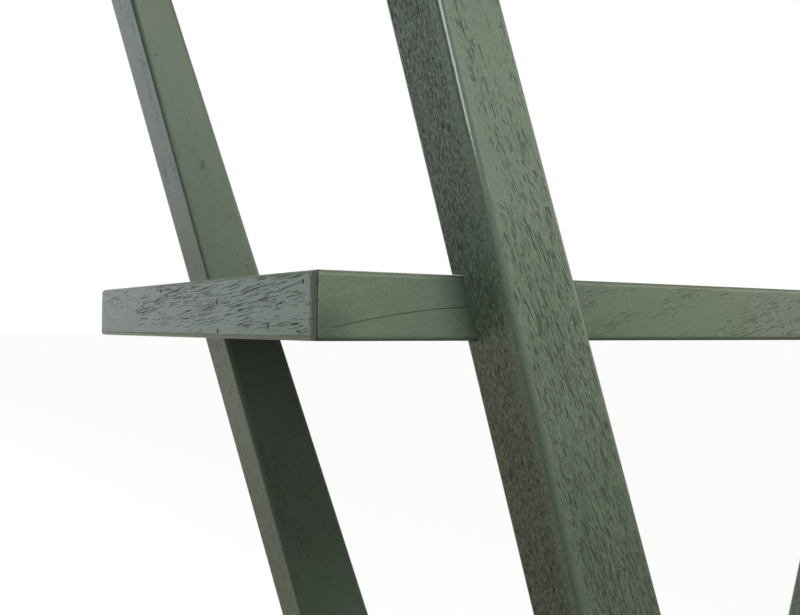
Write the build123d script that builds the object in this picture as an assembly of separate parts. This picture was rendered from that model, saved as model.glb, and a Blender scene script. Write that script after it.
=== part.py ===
from build123d import *
import os

# ---------------------------------------------------------------------------
# Three-tier ladder shelf.  Two pairs of tapered legs flare outwards towards
# the top.  Each shelf board is a core with mitred solid lippings, and its long
# edges sit in housings cut across the inner side of the legs.
# Millimetres.  Origin on the floor under the middle of the piece, +Z up,
# +X to the right along the boards, front face towards -Y.
# ---------------------------------------------------------------------------

# shelf boards
shelf_depth = 300.0          # front edge to back edge
shelf_thick = 30.0
shelf_tops = {"bottom": 160.0, "middle": 540.0, "top": 920.0}
middle_length = 1025.0       # board between its two end faces
lip_thick = 10.0             # solid lipping round the core
shelf_arris = 2.5            # eased outer edges of a board
seam_bevel = 0.25            # hairline bevel where core and lipping meet
mitre_gap = 0.24             # open mitre line at the corners

# legs
leg_depth = 38.5             # front to back
housing_depth = 9.5          # how far a board edge sits in the leg
housing_floor_gap = 0.45     # glue line between board edge and housing floor
housing_head_gap = 0.6       # room above the board in its housing
lean_outer = 0.3067          # sideways run per unit of height, outer face
lean_inner = 0.36397         # the same, inner face: the leg widens downwards
overhang = 75.1              # board end past the leg's outer face, at board top
leg_width_mid = 42.2         # level width of the leg at the middle board's top
leg_top = 950.0
leg_arris = 3.2              # rounded long edges
leg_end_round = 2.0

# dowels, hidden in the leg and board joints
dowel_d = 8.0
dowel_in_leg = 17.0
dowel_in_board = 24.0
dowel_hole_d = 8.2
dowel_hole_extra = 1.0
dowel_offsets = {"bottom": (-15.0, 15.0), "middle": (-10.0, 10.0), "top": (0.0,)}

# brads, through the end lippings into the core
brad_head_z, brad_head_y, brad_head_t = 2.0, 1.2, 1.0
brad_shank_z, brad_shank_y = 1.2, 1.0
brad_length = 28.0
brad_sink = 0.7              # head below the face
brad_clear = 0.1             # room round head and shank
brad_places = ((12.0, 4.8), (45.4, 23.5), (103.0, 26.3), (104.0, 11.8), (185.0, 4.0))
                             # distance from the front corner, depth under the top

# glides under the feet
glide_d = 24.0
glide_t = 3.0
glide_pin_d = 3.0
glide_pin_len = 16.0
glide_hole_d = 3.2

half_depth = shelf_depth / 2
mid_top = shelf_tops["middle"]
leg_y_in = -(half_depth - housing_depth)      # side of the front leg that faces the boards
leg_y_out = leg_y_in - leg_depth


def x_outer(z):
    """Outer face of a left leg at height z."""
    return -middle_length / 2 + overhang - lean_outer * (z - mid_top)


def x_inner(z):
    """Inner face of a left leg at height z."""
    return -middle_length / 2 + overhang + leg_width_mid - lean_inner * (z - mid_top)


def board_length(top):
    return 2 * (overhang - x_outer(top))


def block(x0, x1, y0, y1, z0, z1):
    return Pos((x0 + x1) / 2, (y0 + y1) / 2, (z0 + z1) / 2) * Box(x1 - x0, y1 - y0, z1 - z0)


def rod_y(x, y0, y1, z, d):
    """Round bar along Y."""
    return Pos(x, (y0 + y1) / 2, z) * Rot(90, 0, 0) * Cylinder(d / 2, y1 - y0)


def rod_z(x, y, z0, z1, d):
    """Round bar along Z."""
    return Pos(x, y, (z0 + z1) / 2) * Cylinder(d / 2, z1 - z0)


def dowel_x(name):
    z = shelf_tops[name] - shelf_thick / 2
    middle = (x_outer(z) + x_inner(z)) / 2
    return [middle + d for d in dowel_offsets[name]]


# ---------------------------------------------------------------------------
# legs: made as the front left one, the others are mirror images
# ---------------------------------------------------------------------------
foot_x = (x_outer(glide_t) + x_inner(glide_t)) / 2
foot_y = (leg_y_in + leg_y_out) / 2


def make_leg():
    outline = [
        (x_outer(glide_t), glide_t),
        (x_inner(glide_t), glide_t),
        (x_inner(leg_top), leg_top),
        (x_outer(leg_top), leg_top),
    ]
    face = make_face(Polyline(*outline, close=True))
    leg = extrude(Plane.XZ.offset(-leg_y_in) * face, amount=leg_depth)
    long_edges = [e for e in leg.edges() if abs((e @ 1).Z - (e @ 0).Z) > 500]
    leg = fillet(long_edges, leg_arris)
    end_edges = [
        e
        for e in leg.edges()
        if abs((e @ 0).Z - (e @ 1).Z) < 1e-6
        and min(abs((e @ 0).Z - glide_t), abs((e @ 0).Z - leg_top)) < 1e-6
    ]
    leg = fillet(end_edges, leg_end_round)
    for name, top in shelf_tops.items():
        low, high = top - shelf_thick, top + housing_head_gap
        x0 = min(x_outer(low), x_outer(high)) - 5
        x1 = max(x_inner(low), x_inner(high)) + 5
        leg -= block(x0, x1, -half_depth - housing_floor_gap, leg_y_in + 5, low, high)
        z = top - shelf_thick / 2
        for x in dowel_x(name):
            leg -= rod_y(
                x,
                -half_depth - dowel_in_leg - dowel_hole_extra,
                -half_depth,
                z,
                dowel_hole_d,
            )
    leg -= rod_z(foot_x, foot_y, glide_t - 1, glide_t + glide_pin_len + 1, glide_hole_d)
    return leg


# ---------------------------------------------------------------------------
# shelf boards
# ---------------------------------------------------------------------------
def make_board(name, top):
    low = top - shelf_thick
    half = board_length(top) / 2
    z_mid = (top + low) / 2

    core = block(
        -half + lip_thick, half - lip_thick,
        -half_depth + lip_thick, half_depth - lip_thick,
        low, top,
    )
    ring = block(-half, half, -half_depth, half_depth, low, top)
    ring = fillet(ring.edges(), shelf_arris)
    ring -= core
    core = chamfer(
        [e for e in core.edges() if abs((e @ 0).Z - (e @ 1).Z) < 1e-6], seam_bevel
    )

    # mitre planes run at 45 degrees through the corners, a hair apart
    cut = mitre_gap / 2 * 2 ** 0.5
    reach = lip_thick + 2.0
    front_area = make_face(
        Polyline(
            (-half - 1 + cut, -half_depth - 1),
            (half + 1 - cut, -half_depth - 1),
            (half - reach - cut, -half_depth + reach),
            (-half + reach + cut, -half_depth + reach),
            close=True,
        )
    )
    end_area = make_face(
        Polyline(
            (-half - 1, -half_depth - 1 + cut),
            (-half + reach, -half_depth + reach + cut),
            (-half + reach, half_depth - reach - cut),
            (-half - 1, half_depth + 1 - cut),
            close=True,
        )
    )
    front = ring & extrude(Pos(0, 0, low - 1) * front_area, amount=shelf_thick + 2)
    left = ring & extrude(Pos(0, 0, low - 1) * end_area, amount=shelf_thick + 2)

    # dowel holes, through the long lipping and into the core
    xs = dowel_x(name)
    xs = xs + [-x for x in xs]
    for x in xs:
        hole = rod_y(
            x, -half_depth - 1, -half_depth + dowel_in_board + dowel_hole_extra, z_mid, dowel_hole_d
        )
        front -= hole
        core -= hole
        core -= mirror(hole, Plane.XZ)

    # brad holes, through the end lipping and into the core
    brads = []
    for along, down in brad_places:
        y, z = -half_depth + along, top - down
        c = brad_clear
        pocket = block(
            -half - 1, -half + brad_sink + brad_head_t,
            y - brad_head_y / 2 - c, y + brad_head_y / 2 + c,
            z - brad_head_z / 2 - c, z + brad_head_z / 2 + c,
        )
        tunnel = block(
            -half - 1, -half + brad_sink + brad_length + 0.5,
            y - brad_shank_y / 2 - c, y + brad_shank_y / 2 + c,
            z - brad_shank_z / 2 - c, z + brad_shank_z / 2 + c,
        )
        head = block(
            -half + brad_sink, -half + brad_sink + brad_head_t,
            y - brad_head_y / 2, y + brad_head_y / 2,
            z - brad_head_z / 2, z + brad_head_z / 2,
        )
        shank = block(
            -half + brad_sink, -half + brad_sink + brad_length,
            y - brad_shank_y / 2, y + brad_shank_y / 2,
            z - brad_shank_z / 2, z + brad_shank_z / 2,
        )
        left -= pocket
        left -= tunnel
        core -= tunnel
        core -= mirror(tunnel, Plane.YZ)
        brad = head + shank
        brads += [brad, mirror(brad, Plane.YZ)]

    dowels = []
    for x in xs:
        dowel = rod_y(
            x, -half_depth - dowel_in_leg, -half_depth + dowel_in_board, z_mid, dowel_d
        )
        dowel = chamfer(dowel.edges().filter_by(GeomType.CIRCLE), 0.8)
        dowels += [dowel, mirror(dowel, Plane.XZ)]

    return {
        f"shelf_{name}_core": core,
        f"shelf_{name}_lipping_front": front,
        f"shelf_{name}_lipping_back": mirror(front, Plane.XZ),
        f"shelf_{name}_lipping_left": left,
        f"shelf_{name}_lipping_right": mirror(left, Plane.YZ),
        f"shelf_{name}_dowels": Compound(children=[s for d in dowels for s in d.solids()]),
        f"shelf_{name}_brads": Compound(children=[s for b in brads for s in b.solids()]),
    }


# ---------------------------------------------------------------------------
# glides: a disc with a pin that goes up into the foot
# ---------------------------------------------------------------------------
def make_glide():
    disc = rod_z(foot_x, foot_y, 0, glide_t, glide_d)
    disc = chamfer(
        [e for e in disc.edges() if e.geom_type == GeomType.CIRCLE and e.center().Z < 0.1], 0.8
    )
    return disc + rod_z(foot_x, foot_y, glide_t - 0.5, glide_t + glide_pin_len, glide_pin_d)


def four(stem, shape):
    """A front left piece and its three mirror images."""
    right = mirror(shape, Plane.YZ)
    return {
        f"{stem}_front_left": shape,
        f"{stem}_front_right": right,
        f"{stem}_back_left": mirror(shape, Plane.XZ),
        f"{stem}_back_right": mirror(right, Plane.XZ),
    }


pieces = {}
pieces.update(four("leg", make_leg()))
pieces.update(four("foot_glide", make_glide()))
for board_name, board_top in shelf_tops.items():
    pieces.update(make_board(board_name, board_top))

os.makedirs("parts", exist_ok=True)
for node, shape in pieces.items():
    export_step(shape, f"parts/{node}.step")
    print(node, len(shape.solids()), round(sum(s.volume for s in shape.solids())))
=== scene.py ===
import bpy, math
from mathutils import Matrix, Vector

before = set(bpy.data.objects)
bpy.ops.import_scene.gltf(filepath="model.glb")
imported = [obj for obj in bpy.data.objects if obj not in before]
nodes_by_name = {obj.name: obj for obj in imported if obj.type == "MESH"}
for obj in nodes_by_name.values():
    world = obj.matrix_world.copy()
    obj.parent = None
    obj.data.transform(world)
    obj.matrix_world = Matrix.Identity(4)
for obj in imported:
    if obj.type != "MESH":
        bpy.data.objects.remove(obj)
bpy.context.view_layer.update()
scene = bpy.context.scene


# ------------------------------------------------------------------ node trees
class Graph:
    """Builds one shader tree; every argument may be a number, a tuple or a socket."""

    def __init__(self, material):
        material.use_nodes = True
        self.tree = material.node_tree
        self.tree.nodes.clear()

    def new(self, kind):
        return self.tree.nodes.new(kind)

    def put(self, socket, value):
        if isinstance(value, bpy.types.NodeSocket):
            self.tree.links.new(value, socket)
        elif value is not None:
            socket.default_value = value

    def math(self, op, a, b=None, c=None, clamp=False):
        n = self.new("ShaderNodeMath")
        n.operation = op
        n.use_clamp = clamp
        for socket, value in zip(n.inputs, (a, b, c)):
            self.put(socket, value)
        return n.outputs[0]

    def add(self, a, b): return self.math("ADD", a, b)
    def sub(self, a, b): return self.math("SUBTRACT", a, b)
    def mul(self, a, b): return self.math("MULTIPLY", a, b)
    def low(self, a, b): return self.math("MINIMUM", a, b)
    def high(self, a, b): return self.math("MAXIMUM", a, b)

    def vec(self, op, a, b=None):
        n = self.new("ShaderNodeVectorMath")
        n.operation = op
        self.put(n.inputs[0], a)
        if op == "SCALE":
            self.put(n.inputs["Scale"], b)
        elif b is not None:
            self.put(n.inputs[1], b)
        return n.outputs["Value"] if op in ("LENGTH", "DOT_PRODUCT", "DISTANCE") else n.outputs["Vector"]

    def xyz(self, v):
        n = self.new("ShaderNodeSeparateXYZ")
        self.put(n.inputs[0], v)
        return n.outputs[0], n.outputs[1], n.outputs[2]

    def step(self, value, a, b, to_a=0.0, to_b=1.0):
        """Smooth step of value from a (gives to_a) to b (gives to_b)."""
        n = self.new("ShaderNodeMapRange")
        n.interpolation_type = "SMOOTHSTEP"
        for key, item in (("Value", value), ("From Min", a), ("From Max", b), ("To Min", to_a), ("To Max", to_b)):
            self.put(n.inputs[key], item)
        return n.outputs["Result"]

    def noise(self, v, scale=1.0, detail=2.0, rough=0.5, colour=False):
        n = self.new("ShaderNodeTexNoise")
        n.noise_dimensions = "3D"
        self.put(n.inputs["Vector"], v)
        n.inputs["Scale"].default_value = scale
        n.inputs["Detail"].default_value = detail
        n.inputs["Roughness"].default_value = rough
        return n.outputs["Color"] if colour else n.outputs["Fac"]

    def cells(self, v):
        n = self.new("ShaderNodeTexVoronoi")
        n.voronoi_dimensions = "3D"
        n.feature = "F1"
        self.put(n.inputs["Vector"], v)
        n.inputs["Scale"].default_value = 1.0
        n.inputs["Randomness"].default_value = 1.0
        s = self.new("ShaderNodeSeparateColor")
        self.put(s.inputs[0], n.outputs["Color"])
        return n.outputs["Distance"], s.outputs[0], s.outputs[1]

    def mix(self, factor, a, b, blend="MIX"):
        n = self.new("ShaderNodeMix")
        n.data_type = "RGBA"
        n.blend_type = blend
        self.put(n.inputs[0], factor)
        self.put(n.inputs[6], a)
        self.put(n.inputs[7], b)
        return n.outputs[2]

    def object_mm(self):
        """Row-frame position in millimetres."""
        tc = self.new("ShaderNodeTexCoord")
        return self.vec("SCALE", tc.outputs["Object"], 1000.0)

    def turned(self, v, grain, seed):
        """Position turned so that the grain runs along local Z, then shifted."""
        m = self.new("ShaderNodeMapping")
        m.vector_type = "POINT"
        self.put(m.inputs["Vector"], v)
        g = Vector(grain).normalized()
        m.inputs["Rotation"].default_value = g.rotation_difference(Vector((0, 0, 1))).to_euler("XYZ")
        m.inputs["Location"].default_value = seed
        return m.outputs["Vector"]

    def bump(self, height_mm, strength=1.0, normal=None):
        n = self.new("ShaderNodeBump")
        n.inputs["Strength"].default_value = strength
        n.inputs["Distance"].default_value = 0.001
        self.put(n.inputs["Height"], height_mm)
        if normal is not None:
            self.put(n.inputs["Normal"], normal)
        return n.outputs["Normal"]

    def surface(self, colour, roughness, normal, **fixed):
        b = self.new("ShaderNodeBsdfPrincipled")
        self.put(b.inputs["Base Color"], colour)
        self.put(b.inputs["Roughness"], roughness)
        if normal is not None:
            self.put(b.inputs["Normal"], normal)
        for key, value in fixed.items():
            b.inputs[key].default_value = value
        o = self.new("ShaderNodeOutputMaterial")
        self.put(o.inputs["Surface"], b.outputs[0])
        return b


# ------------------------------------------------------------------ paint on open-grained wood
PAINT_A = (0.163, 0.203, 0.146, 1)     # sage green
PAINT_B = (0.170, 0.200, 0.158, 1)     # the same coat where it is a little greyer
PORE = (0.030, 0.036, 0.026, 1)        # bottom of an unfilled pore
BARE = (0.205, 0.190, 0.135, 1)        # coat thinned over an arris, wood tone showing through
WARM_PAINTED_BOUNCE = (0.192, 0.196, 0.114, 1)        # painted warm bounce light low on the outer faces of the front legs
OLIVE = (0.130, 0.135, 0.082, 1)       # rubbed and soiled corner at a mitre
EDGE_PAINTED_LIGHT = (0.165, 0.220, 0.162, 1)        # painted light: a lighter, greener tone on the rounded edges of the legs


def painted(name, grain, seed, density=0.0, reach=1.0, slim=1.0, extra=None, arris=None, marks=None,
            edge=None, contrast=1.0, relief=1.0, lift=1.0, tint=(1, 1, 1), grit=1.0, stain_and_painted_light=None, satin=0.36, gloss=None, crowd=0.0):
    """Satin paint that has sunk into the open pores of the wood.

    grain: direction of the fibres.  density: raises or lowers how many pores stay open.
    reach: pore length factor.  slim: pore width factor.  crowd: how much closer pores stand in the most open grain.
    extra(g, x, y, z): added density by place (mm).  arris(g, x, y, z): 0..1 where the coat is thin.
    marks(g, x, y, z): single dark grain lines, 0..1.
    edge(g, x, y, z): 0..1 on rounded edges, where the coat has flowed out smooth and has no pores, and where a lighter
    green is mixed in as painted light.
    lift: a brightness factor, a number or f(g, x, y, z); the functions given here paint light and shade by place.
    tint: a colour factor.
    grit: strength of the fine tooth of the coat, a number or f(g, x, y, z).
    satin: roughness of the coat.  gloss(g, x, y, z): 0..1 where a thicker, glossier coat has gathered.
    stain_and_painted_light: (colour, f(g, x, y, z), roughness) a change of tone, 0..1 by place, and what it adds to the
    roughness; used for a rubbed stain and for painted warm bounce light.
    """
    mat = bpy.data.materials.new(name)
    g = Graph(mat)
    p = g.object_mm()
    x, y, z = g.xyz(p)
    q0 = g.turned(p, grain, seed)
    # fibres wander a little
    sway = g.vec("SUBTRACT", g.noise(g.vec("MULTIPLY", q0, (1 / 26, 1 / 26, 1 / 70)), 1.0, 2.0, 0.5, True), (0.5, 0.5, 0.5))
    q = g.vec("ADD", q0, g.vec("MULTIPLY", sway, (2.4, 2.4, 0.0)))
    # how open the grain is from place to place
    band = g.noise(g.vec("MULTIPLY", q, (1 / 9, 1 / 9, 1 / 55)), 1.0, 2.0, 0.55)
    patchy = g.noise(g.vec("MULTIPLY", q, (1 / 30, 1 / 30, 1 / 90)), 1.0, 1.0, 0.5)
    opened = g.add(g.add(g.mul(band, 0.55), g.mul(patchy, 0.35)), density + 0.05)
    if extra is not None:
        opened = g.add(opened, extra(g, x, y, z))
    if edge is not None:
        rounded = edge(g, x, y, z)
        opened = g.sub(opened, g.mul(rounded, 0.6))
    mask = g.step(opened, 0.40, 0.62)
    if crowd > 0:
        mask = g.add(mask, g.mul(g.high(g.sub(opened, 0.62), 0.0), crowd))

    def pores(across, along, start, drop, shift, soft=0.04):
        """Elongated pits: where a stretched noise passes a level that falls as the grain opens."""
        v = g.vec("ADD", g.vec("MULTIPLY", q, (1 / (across * slim), 1 / (across * slim), 1 / (along * reach))), shift)
        n = g.noise(v, 1.0, 0.6, 0.5)
        level = g.sub(start, g.mul(mask, drop))
        inside = g.step(n, level, g.add(level, soft))
        rim = g.sub(g.step(n, g.sub(level, 0.07), level), inside)
        return inside, g.mul(rim, mask)

    big, rim = pores(0.80, 9.0, 0.82, 0.195, (0, 0, 0))
    fine, rim2 = pores(0.60, 4.5, 0.80, 0.175, (31.7, 12.3, 5.1))
    deep = g.high(big, g.mul(fine, 0.8))
    # faint lines that follow the fibres under the coat
    line = g.noise(g.vec("MULTIPLY", q, (1 / 0.9, 1 / 0.9, 1 / 75)), 1.0, 3.0, 0.6)
    tone = g.noise(g.vec("MULTIPLY", p, (1 / 70, 1 / 70, 1 / 70)), 1.0, 3.0, 0.55)
    speck = g.step(g.noise(g.vec("MULTIPLY", q, (1 / 1.3, 1 / 1.3, 1 / 1.9)), 1.0, 3.0, 0.65), 0.34, 0.66)
    colour = g.mix(g.step(tone, 0.35, 0.65), PAINT_A, PAINT_B)
    tooth = grit(g, x, y, z) if callable(grit) else grit
    if callable(lift):
        lift = lift(g, x, y, z)
    shade = g.add(1.0, g.add(g.mul(g.sub(line, 0.5), 0.30),
                             g.add(g.mul(g.mul(g.sub(speck, 0.5), 0.06), tooth), g.mul(g.sub(tone, 0.5), 0.10))))
    colour = g.vec("MULTIPLY", g.vec("SCALE", colour, g.mul(shade, lift)), tint)
    if arris is not None:
        thin_coat_and_painted_bounce = g.mul(arris(g, x, y, z), g.step(g.noise(g.vec("MULTIPLY", p, (1 / 11, 1 / 11, 1 / 4)), 1.0, 3.0, 0.6), 0.36, 0.58))
        colour = g.mix(g.mul(thin_coat_and_painted_bounce, 0.40), colour, BARE)
    # mixes in a tone by place: a rubbed stain at the mitres, painted warm bounce light on the front legs
    if stain_and_painted_light is not None:
        stain_and_light_mask = stain_and_painted_light[1](g, x, y, z)
        colour = g.mix(stain_and_light_mask, colour, g.vec("SCALE", stain_and_painted_light[0][:3], shade))
    if edge is not None:
        # painted light: rounded edges are mixed toward a lighter green
        colour = g.mix(g.mul(rounded, 0.65), colour, EDGE_PAINTED_LIGHT)
    # painted highlight: the raised lips round the pores are made 20% lighter
    colour = g.vec("SCALE", colour, g.add(1.0, g.mul(rim, 0.20)))
    colour = g.mix(g.math("MULTIPLY", deep, 0.80 * contrast, clamp=True), colour, PORE)
    height = g.add(g.mul(deep, -0.26 * relief), g.add(g.mul(rim, 0.030), g.add(g.mul(line, 0.035), g.mul(g.mul(speck, 0.006), tooth))))
    if marks is not None:
        cut = marks(g, x, y, z)
        colour = g.mix(g.mul(cut, 0.72), colour, PORE)
        height = g.sub(height, g.mul(cut, 0.15))
    rough = g.add(satin, g.add(g.mul(g.sub(tone, 0.5), 0.10), g.add(g.mul(deep, 0.30), g.mul(g.sub(speck, 0.5), 0.06))))
    if stain_and_painted_light is not None and stain_and_painted_light[2] > 0:
        rough = g.add(rough, g.mul(stain_and_light_mask, stain_and_painted_light[2]))
    if edge is not None:
        ripple = g.noise(g.vec("MULTIPLY", q, (1 / 1.1, 1 / 1.1, 1 / 3.0)), 1.0, 2.0, 0.6)
        height = g.add(height, g.mul(g.mul(ripple, rounded), 0.07))
    if gloss is not None:
        gathered = gloss(g, x, y, z)
        rough = g.sub(rough, g.mul(gathered, 0.16))
    b = g.surface(colour, rough, g.bump(height), IOR=1.5)
    if gloss is not None:
        g.put(b.inputs["Coat Weight"], gathered)
        b.inputs["Coat Roughness"].default_value = 0.12
        b.inputs["Coat IOR"].default_value = 1.7
    return mat


def assign(node, mat):
    o = nodes_by_name[node]
    o.data.materials.clear()
    o.data.materials.append(mat)


# ------------------------------------------------------------------ legs
LEAN = math.radians(18.54)


def leg_grain(side, slant, dive):
    """Up the leg; slant turns it further outward on the broad face, dive runs it toward the front."""
    a = LEAN + math.radians(slant)
    return (side * math.sin(a), -math.sin(math.radians(dive)), math.cos(a))


def leg_place(side, front):
    """Across-the-face position on a leg, in mm from its inner face (0) to its outer face (about 42)."""
    def across(g, x, z):
        inner = g.sub(395.2, g.mul(g.sub(540.0, z), 0.36397))     # |x| of the inner face at height z
        return g.sub(g.mul(x, side), inner)
    return across


def near_leg_extra(side):
    across = leg_place(side, True)

    def extra(g, x, y, z):
        a = across(g, x, z)
        # smooth strip beside the outer arris of the front face
        on_front = g.step(y, -176.5, -178.2)
        outer = g.sub(g.sub(437.4, g.mul(g.sub(540.0, z), 0.3067)), g.mul(x, side))     # mm in from the outer face
        strip = g.mul(g.step(outer, 9.0, 4.0), on_front)
        # the outer face is the more open one, except next to the front arris
        on_outer = g.step(outer, 2.0, 0.4)
        close = g.mul(on_outer, g.step(y, -169.0, -174.0))
        low = g.add(g.step(z, 590.0, 545.0, 0.0, 0.24), g.step(z, 640.0, 680.0, 0.0, 0.06))
        return g.add(g.add(g.mul(strip, -0.16), low), g.add(g.mul(on_outer, g.step(z, 600.0, 545.0, 0.20, 0.03)), g.mul(close, -0.42)))
    return extra


def outer_painted_bounce(side):
    """Painted warm bounce light on the outer face of a leg, patchy, mostly below the middle board."""
    def thin_coat_and_painted_bounce(g, x, y, z):
        outer = g.sub(g.sub(437.4, g.mul(g.sub(540.0, z), 0.3067)), g.mul(x, side))
        patch = g.step(g.noise(g.vec("MULTIPLY", g.object_mm(), (1 / 5, 1 / 5, 1 / 45)), 1.0, 2.0, 0.5), 0.30, 0.60, 0.55, 1.0)
        inside = g.mul(g.step(outer, 2.0, 0.4), g.step(y, -177.0, -167.0))
        return g.mul(g.mul(inside, patch), g.mul(g.step(z, 530.0, 490.0, 0.10, 0.9), g.step(z, 440.0, 400.0, 1.0, 0.75)))
    return thin_coat_and_painted_bounce


def outer_tooth(side, face, rest):
    """Coarser tooth on the outer face of a leg than on its other faces."""
    def tooth(g, x, y, z):
        outer = g.sub(g.sub(437.4, g.mul(g.sub(540.0, z), 0.3067)), g.mul(x, side))
        return g.step(outer, 2.0, 0.4, rest, face)
    return tooth


def front_leg_painted_light(side):
    """Painted light and shade along a front leg, set by comparing with the photo: its front face darker high and low
    and lighter in the middle, its outer face lighter low down.
    """
    def lift(g, x, y, z):
        outer = g.step(g.sub(g.sub(437.4, g.mul(g.sub(540.0, z), 0.3067)), g.mul(x, side)), 2.0, 0.4)
        high = g.mul(g.step(z, 610.0, 690.0), g.sub(0.17, g.mul(outer, 0.17)))
        ends = g.add(high, g.mul(g.step(z, 450.0, 390.0), g.sub(0.10, g.mul(outer, 0.30))))
        middle = g.mul(g.mul(g.step(z, 600.0, 565.0), g.step(z, 450.0, 480.0)), g.sub(0.10, g.mul(outer, 0.10)))
        return g.add(g.sub(1.08, ends), middle)
    return lift


def outer_painted_light(side, face):
    """Painted light: paler low on the outer face of a back leg, set by comparing with the photo."""
    def lift(g, x, y, z):
        outer = g.sub(g.sub(437.4, g.mul(g.sub(540.0, z), 0.3067)), g.mul(x, side))
        return g.add(1.0, g.mul(g.step(outer, 2.0, 0.4), g.step(z, 500.0, 400.0, 0.0, face)))
    return lift


def back_leg_extra(side):
    def extra(g, x, y, z):
        # streaks on the outer face, mostly below the middle board
        outer = g.sub(g.sub(437.4, g.mul(g.sub(540.0, z), 0.3067)), g.mul(x, side))
        low = g.step(z, 560.0, 480.0, 0.08, 0.22)
        return g.add(g.mul(g.step(outer, 2.0, 0.4), low), g.step(z, 540.0, 430.0, 0.0, 0.06))
    return extra


def leg_edge(side, front):
    """1 on the rounded long edges of a leg."""
    y_in, y_out = (-140.5, -179.0) if front else (140.5, 179.0)

    def edge(g, x, y, z):
        a = g.mul(x, side)
        dx = g.low(g.math("ABSOLUTE", g.sub(a, g.sub(395.2, g.mul(g.sub(540.0, z), 0.36397)))),
                   g.math("ABSOLUTE", g.sub(a, g.sub(437.4, g.mul(g.sub(540.0, z), 0.3067)))))
        dy = g.low(g.math("ABSOLUTE", g.sub(y, y_in)), g.math("ABSOLUTE", g.sub(y, y_out)))
        return g.step(g.high(dx, dy), 3.6, 2.6)
    return edge


def outer_gloss(side):
    """1 on the rounded edge between the front and the outer face of a front leg from 600 mm up, falling to 0.2 below
    545 mm.
    """
    def gloss(g, x, y, z):
        dx = g.math("ABSOLUTE", g.sub(g.mul(x, side), g.sub(437.4, g.mul(g.sub(540.0, z), 0.3067))))
        dy = g.math("ABSOLUTE", g.add(y, 179.0))
        return g.mul(g.step(g.high(dx, dy), 3.6, 2.6), g.step(z, 545.0, 600.0, 0.2, 1.0))
    return gloss


for name, side, seed, dens, con in (
        ("leg_front_left", -1, (13.0, 7.0, 41.0), 0.07, 0.84),
        ("leg_back_left", -1, (-57.0, 23.0, 118.0), -0.09, 0.7),
        ("leg_front_right", 1, (91.0, -33.0, 260.0), 0.09, 0.85),
        ("leg_back_right", 1, (-140.0, 61.0, -75.0), 0.0, 0.9)):
    front = "front" in name
    # front legs: painted light and shade along the leg and painted warm bounce light below the board; back legs:
    # painted light low on the outer face
    assign(name, painted(name + "_paint", leg_grain(side, 8.0, 2.5), seed, density=dens, edge=leg_edge(side, front),
                         extra=near_leg_extra(side) if front else back_leg_extra(side), contrast=con,
                         lift=front_leg_painted_light(side) if front else outer_painted_light(side, 0.55),
                         slim=0.8, reach=0.95, crowd=1.2 if front else 0.0, relief=1.3 if front else 1.0, stain_and_painted_light=(WARM_PAINTED_BOUNCE, outer_painted_bounce(side), 0.0) if front else None,
                         gloss=outer_gloss(side) if front else None,
                         grit=outer_tooth(side, 10.0, 2.5) if front else outer_tooth(side, 3.0, 2.0)))

# ------------------------------------------------------------------ boards
TOPS = {"bottom": 160.0, "middle": 540.0, "top": 920.0}
HALF = {"bottom": 396.0, "middle": 512.5, "top": 629.05}
SEEDS = {"bottom": (210.0, 40.0, -30.0), "middle": (0.0, 0.0, 0.0), "top": (-90.0, 170.0, 66.0)}


def near_edges(top, amount=1.0):
    """Thin coat along the upper arris of a board's edge."""
    def arris(g, x, y, z):
        return g.step(g.sub(top, z), 2.6, 0.6, 0.0, amount)
    return arris


def mitre_rub(half):
    """Rubbed band beside the front mitre at the left end of a board, with a ragged border."""
    def rub(g, x, y, z):
        ragged = g.mul(g.sub(g.noise(g.vec("MULTIPLY", g.object_mm(), (1 / 3, 1 / 3, 1 / 5)), 1.0, 3.0, 0.6), 0.5), 5.0)
        on_end = g.step(g.add(y, ragged), -143.0, -146.5)
        return g.mul(g.mul(on_end, g.step(g.add(x, half), 6.0, 3.0)), 0.8)
    return rub


def mitre_seam(half, more=None):
    """Dark, slightly chipped line where two lippings meet at the left front mitre; more: other marks."""
    def marks(g, x, y, z):
        off = g.math("ABSOLUTE", g.sub(g.add(x, half), g.add(y, 150.0)))
        chip = g.step(g.noise(g.vec("MULTIPLY", g.object_mm(), (1 / 6, 1 / 6, 1 / 3)), 1.0, 3.0, 0.6), 0.50, 0.66)
        wide = g.add(0.55, g.mul(chip, 1.1))
        line = g.step(off, wide, g.mul(wide, 0.35), 0.0, 0.95)
        line = g.mul(line, g.step(g.add(x, half), 7.0, 5.0))
        return g.high(line, more(g, x, y, z)) if more is not None else line
    return marks


def front_painted_shade(top, half):
    """Painted shade: darker towards the lower left corner of a board's front edge, as in the photo."""
    def lift(g, x, y, z):
        dark = g.mul(g.step(g.add(x, half), 26.0, 2.0), g.step(g.sub(top, z), 8.0, 24.0, 0.15, 1.0))
        return g.sub(1.12, g.mul(dark, 0.42))
    return lift


def end_extra(top):
    def extra(g, x, y, z):
        fore = g.add(g.step(y, 95.0, -20.0, -0.07, 0.06), g.step(y, -95.0, -135.0, 0.0, -0.05))
        foot = g.step(z, top - 22.0, top - 29.0, 0.0, -0.16)
        return g.add(fore, foot)
    return extra


def end_painted_light(g, x, y, z):
    """Painted light: paler towards the front of a board's left end, set by comparing with the photo."""
    return g.step(y, 120.0, -90.0, 1.02, 1.34)


def front_extra(half):
    def extra(g, x, y, z):
        return g.step(x, -half + 95.0, -half + 150.0, -0.13, 0.0)
    return extra


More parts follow.
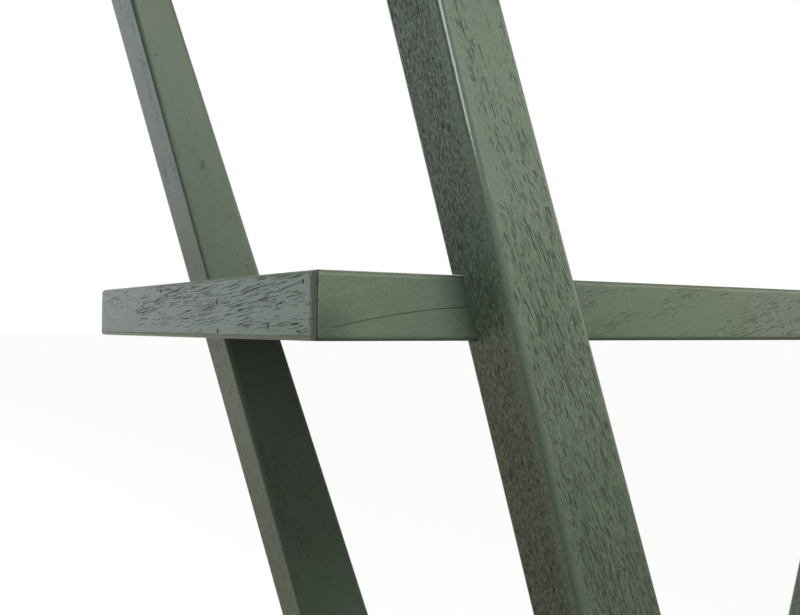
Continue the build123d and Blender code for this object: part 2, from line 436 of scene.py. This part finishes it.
def grain_line(g, x, y, z):
    """One dark line of grain on the edge of the middle board, left of the leg."""
    u = g.math("DIVIDE", g.sub(x, -505.1), 70.6)
    path = g.add(515.6, g.add(g.mul(u, 15.5), g.mul(g.mul(u, u), -5.6)))
    wob = g.mul(g.sub(g.noise(g.vec("MULTIPLY", g.object_mm(), (1 / 9, 0, 0)), 1.0, 2.0, 0.5), 0.5), 0.9)
    d = g.math("ABSOLUTE", g.sub(g.sub(z, path), wob))
    along = g.mul(g.step(u, -0.05, 0.05), g.step(u, 1.10, 0.95))
    return g.mul(g.step(d, 0.36, 0.10), along)


def nail_split(g, x, y, z):
    """Short split running back from the foremost brad of the middle board's end."""
    u = g.math("DIVIDE", g.add(y, 138.0), 22.0)
    wob = g.mul(g.sub(g.noise(g.vec("MULTIPLY", g.object_mm(), (0, 1 / 5, 0)), 1.0, 2.0, 0.5), 0.5), 0.8)
    d = g.math("ABSOLUTE", g.sub(g.sub(z, g.sub(535.4, g.mul(u, 3.2))), wob))
    along = g.mul(g.step(u, -0.02, 0.04), g.step(u, 1.1, 0.8))
    return g.mul(g.step(d, 0.50, 0.14), along)


for s in ("bottom", "middle", "top"):
    top, half, k = TOPS[s], HALF[s], SEEDS[s]
    mid = s == "middle"
    # painted light on the left ends: paler towards the front, with a slight red and blue tint
    assign("shelf_%s_lipping_left" % s, painted(
        "shelf_%s_left_paint" % s, (0.0, -1.0, 0.095), (k[0] + 3, k[1] + 5, k[2]), density=0.05, reach=2.2, slim=0.68, contrast=0.95,
        extra=end_extra(top), lift=end_painted_light, tint=(1.03, 1.0, 1.03), grit=3.0,
        marks=mitre_seam(half, nail_split if mid else None), stain_and_painted_light=(OLIVE, mitre_rub(half), 0.35)))
    assign("shelf_%s_lipping_right" % s, painted(
        "shelf_%s_right_paint" % s, (0.0, 1.0, 0.05), (k[0] - 71, k[1] + 19, k[2] + 7), density=0.04, reach=2.0, slim=0.78,
        extra=end_extra(top), arris=near_edges(top, 0.3), grit=3.0))
    # painted shade: darker towards the lower left corner of the front edge
    assign("shelf_%s_lipping_front" % s, painted(
        "shelf_%s_front_paint" % s, (1.0, 0.0, 0.27), (k[0] + 44, k[1] - 23, k[2] + 80), density=0.05, reach=1.25, slim=0.80, lift=front_painted_shade(top, half),
        extra=front_extra(half), arris=near_edges(top, 0.5), marks=mitre_seam(half, grain_line if mid else None), contrast=0.42, relief=0.6, grit=2.5))
    assign("shelf_%s_lipping_back" % s, painted(
        "shelf_%s_back_paint" % s, (-1.0, 0.0, 0.10), (k[0] + 101, k[1] + 61, k[2] - 15), density=0.03, reach=1.3,
        arris=near_edges(top), contrast=0.8, grit=2.5))
    assign("shelf_%s_core" % s, painted(
        "shelf_%s_face_paint" % s, (1.0, 0.05, 0.0), (k[0] - 17, k[1] + 133, k[2] + 29), density=-0.04, reach=2.2,
        contrast=0.7, grit=2.5, satin=0.50))

# ------------------------------------------------------------------ small parts


def beech(name):
    mat = bpy.data.materials.new(name)
    g = Graph(mat)
    p = g.object_mm()
    fleck = g.noise(g.vec("MULTIPLY", p, (1 / 0.5, 1 / 6.0, 1 / 0.5)), 1.0, 3.0, 0.6)
    tone = g.noise(p, 0.08, 2.0, 0.5)
    colour = g.mix(g.step(fleck, 0.40, 0.66), (0.50, 0.33, 0.19, 1), (0.36, 0.21, 0.11, 1))
    colour = g.vec("SCALE", colour, g.add(0.92, g.mul(tone, 0.16)))
    g.surface(colour, g.add(0.55, g.mul(fleck, 0.15)), g.bump(g.mul(fleck, -0.02)), IOR=1.5)
    return mat


def steel(name):
    mat = bpy.data.materials.new(name)
    g = Graph(mat)
    p = g.object_mm()
    grit = g.noise(p, 3.2, 4.0, 0.65)
    film = g.noise(p, 0.9, 3.0, 0.6)
    colour = g.mix(g.step(film, 0.42, 0.60), (0.020, 0.022, 0.020, 1), (0.040, 0.048, 0.036, 1))
    g.surface(colour, g.add(0.45, g.mul(grit, 0.25)), g.bump(g.mul(grit, 0.03)), Metallic=0.3, IOR=1.5)
    return mat


def nylon(name):
    mat = bpy.data.materials.new(name)
    g = Graph(mat)
    p = g.object_mm()
    spark = g.noise(p, 4.5, 2.0, 0.5)
    scuff = g.noise(g.vec("MULTIPLY", p, (1 / 1.2, 1 / 9.0, 1 / 1.2)), 1.0, 4.0, 0.65)
    colour = g.mix(g.step(scuff, 0.50, 0.70), (0.030, 0.031, 0.030, 1), (0.075, 0.076, 0.072, 1))
    g.surface(colour, g.add(0.40, g.mul(scuff, 0.25)), g.bump(g.add(g.mul(spark, 0.02), g.mul(scuff, -0.02))), IOR=1.53)
    return mat


dowel, brad, glide = beech("dowel_beech"), steel("brad_steel"), nylon("glide_nylon")
for s in TOPS:
    assign("shelf_%s_dowels" % s, dowel)
    assign("shelf_%s_brads" % s, brad)
for a in ("front", "back"):
    for b in ("left", "right"):
        assign("foot_glide_%s_%s" % (a, b), glide)

# ------------------------------------------------------------------ camera
yaw, pitch, roll = math.radians(33.418), math.radians(1.202), math.radians(0.346)
fwd = Vector((math.sin(yaw), math.cos(yaw), 0))
right = Vector((math.cos(yaw), -math.sin(yaw), 0))
up = Vector((0, 0, 1))
f2 = fwd * math.cos(pitch) + up * math.sin(pitch)
u2 = up * math.cos(pitch) - fwd * math.sin(pitch)
r3 = right * math.cos(roll) + u2 * math.sin(roll)
u3 = u2 * math.cos(roll) - right * math.sin(roll)
cam_data = bpy.data.cameras.new("camera")
cam_data.sensor_fit = "HORIZONTAL"
cam_data.sensor_width = 36.0
cam_data.lens = 981.726 / 800 * 36.0
cam_data.clip_start = 0.01
cam_data.clip_end = 200
cam = bpy.data.objects.new("camera", cam_data)
scene.collection.objects.link(cam)
cam.matrix_world = Matrix((
    (r3.x, u3.x, -f2.x, -0.70698),
    (r3.y, u3.y, -f2.y, -0.50743),
    (r3.z, u3.z, -f2.z, 0.51568),
    (0, 0, 0, 1)))
scene.camera = cam
scene.view_settings.view_transform = "Standard"
scene.view_settings.look = "None"

# ------------------------------------------------------------------ soft studio light
aim = Vector((-0.36, -0.02, 0.54))


def softbox(name, azimuth, elevation, distance, size, watts, target=aim):
    a, e = math.radians(azimuth), math.radians(elevation)
    d = Vector((math.sin(a) * math.cos(e), -math.cos(a) * math.cos(e), math.sin(e)))
    data = bpy.data.lights.new(name, "AREA")
    data.shape = "RECTANGLE"
    data.size, data.size_y = size if isinstance(size, tuple) else (size, size)
    data.energy = max(watts)
    data.color = [w / max(watts) for w in watts]
    o = bpy.data.objects.new(name, data)
    scene.collection.objects.link(o)
    o.location = target + d * distance
    o.rotation_mode = "QUATERNION"
    o.rotation_quaternion = d.to_track_quat("Z", "Y")
    o.visible_camera = False
    return o


softbox("key", 0, 35, 1.15, 0.5, (5.85, 5.95, 5.00))
softbox("fill_front", 0, 20, 1.15, 0.5, (0.36, 0.40, 0.45))
softbox("fill_right", 30, 20, 1.15, 0.5, (0.94, 1.27, 1.22))
softbox("fill_side", 60, 20, 1.15, 0.5, (1.35, 1.17, 1.05))
softbox("low_right", 60, 5, 1.15, 0.5, (0.95, 0.90, 0.80))
softbox("edge_light", 300, -8, 0.45, (0.24, 0.22), (0.58, 0.66, 0.66), Vector((-0.464, -0.179, 0.652)))
softbox("edge_fill", 332, -8, 0.70, (0.50, 0.25), (0.11, 0.125, 0.12), Vector((-0.464, -0.179, 0.650)))
softbox("backdrop_left", 210, 8, 2.0, 0.9, (4.25, 4.67, 4.90))
softbox("backdrop_mid", 180, 8, 2.0, 0.9, (3.30, 3.50, 3.15))
softbox("backdrop_low", 180, -10, 2.0, 0.9, (4.95, 5.30, 4.90))
softbox("rear_a", 150, 50, 2.0, 0.9, (14.0, 14.0, 14.0))
softbox("rear_b", 115, 50, 2.0, 0.9, (12.0, 12.0, 12.0))
softbox("rear_c", 185, 50, 2.0, 0.9, (8.0, 8.0, 8.0))
softbox("rear_d", 150, 8, 2.0, 0.9, (3.0, 3.0, 3.0))
softbox("overhead", 0, 88, 1.3, 0.9, (1.2, 1.2, 1.2))
softbox("side_right", 95, 18, 1.8, 1.2, (5.0, 5.0, 4.9), Vector((0.50, 0.0, 0.50)))

world = bpy.data.worlds.new("studio")
scene.world = world
world.use_nodes = True
wt = world.node_tree
wt.nodes.clear()
w_out = wt.nodes.new("ShaderNodeOutputWorld")
w_bg = wt.nodes.new("ShaderNodeBackground")
w_path = wt.nodes.new("ShaderNodeLightPath")
w_mix = wt.nodes.new("ShaderNodeMapRange")
w_mix.inputs["To Min"].default_value = 0.02
w_mix.inputs["To Max"].default_value = 1.0
wt.links.new(w_path.outputs["Is Camera Ray"], w_mix.inputs["Value"])
w_bg.inputs[0].default_value = (1, 1, 1, 1)
wt.links.new(w_mix.outputs["Result"], w_bg.inputs[1])
wt.links.new(w_bg.outputs[0], w_out.inputs[0])

# ------------------------------------------------------------------ pale floor
me = bpy.data.meshes.new("floor")
me.from_pydata([(-60, -60, 0), (60, -60, 0), (60, 60, 0), (-60, 60, 0)], [], [(0, 1, 2, 3)])
floor = bpy.data.objects.new("floor", me)
scene.collection.objects.link(floor)
fm = bpy.data.materials.new("floor_pale")
g = Graph(fm)
tc = g.new("ShaderNodeTexCoord")
px, py, pz = g.xyz(tc.outputs["Object"])
radius = g.vec("LENGTH", g.vec("MULTIPLY", tc.outputs["Object"], (1, 1, 0)))
behind = g.mul(g.mul(g.step(py, 0.25, 0.45), g.step(py, 3.2, 2.8)), g.step(g.math("ABSOLUTE", px), 2.7, 2.3))


def shader(kind, **inputs):
    n = g.new(kind)
    for key, value in inputs.items():
        g.put(n.inputs[key], value)
    return n.outputs[0]


def shader_mix(f, a, b):
    n = g.new("ShaderNodeMixShader")
    g.put(n.inputs[0], f)
    g.put(n.inputs[1], a)
    g.put(n.inputs[2], b)
    return n.outputs[0]


def shader_sum(a, b):
    n = g.new("ShaderNodeAddShader")
    g.put(n.inputs[0], a)
    g.put(n.inputs[1], b)
    return n.outputs[0]


grain_n = g.noise(tc.outputs["Object"], 40.0, 3.0, 0.5)
seen_near = shader_sum(shader("ShaderNodeBsdfDiffuse", Color=(0.70, 0.70, 0.69, 1)),
                       shader("ShaderNodeEmission", Color=(1, 1, 0.99, 1), Strength=g.add(0.47, g.mul(grain_n, 0.02))))
seen = shader_mix(g.step(radius, 0.55, 1.0), seen_near, shader("ShaderNodeEmission", Color=(1.0, 1.0, 0.995, 1), Strength=g.step(px, -0.2, 0.9, 1.01, 0.97)))
bounce = shader_sum(shader("ShaderNodeBsdfDiffuse", Color=(0.22, 0.21, 0.20, 1)),
                    shader("ShaderNodeEmission", Color=(0.310, 0.290, 0.195, 1), Strength=behind))
# the floor has one side only, so the underside of the furniture can be looked at
side = g.new("ShaderNodeNewGeometry")
seen = shader_mix(side.outputs["Backfacing"], seen, shader("ShaderNodeBsdfTransparent"))
path = g.new("ShaderNodeLightPath")
out = g.new("ShaderNodeOutputMaterial")
g.put(out.inputs["Surface"], shader_mix(path.outputs["Is Camera Ray"], bounce, seen))
me.materials.append(fm)
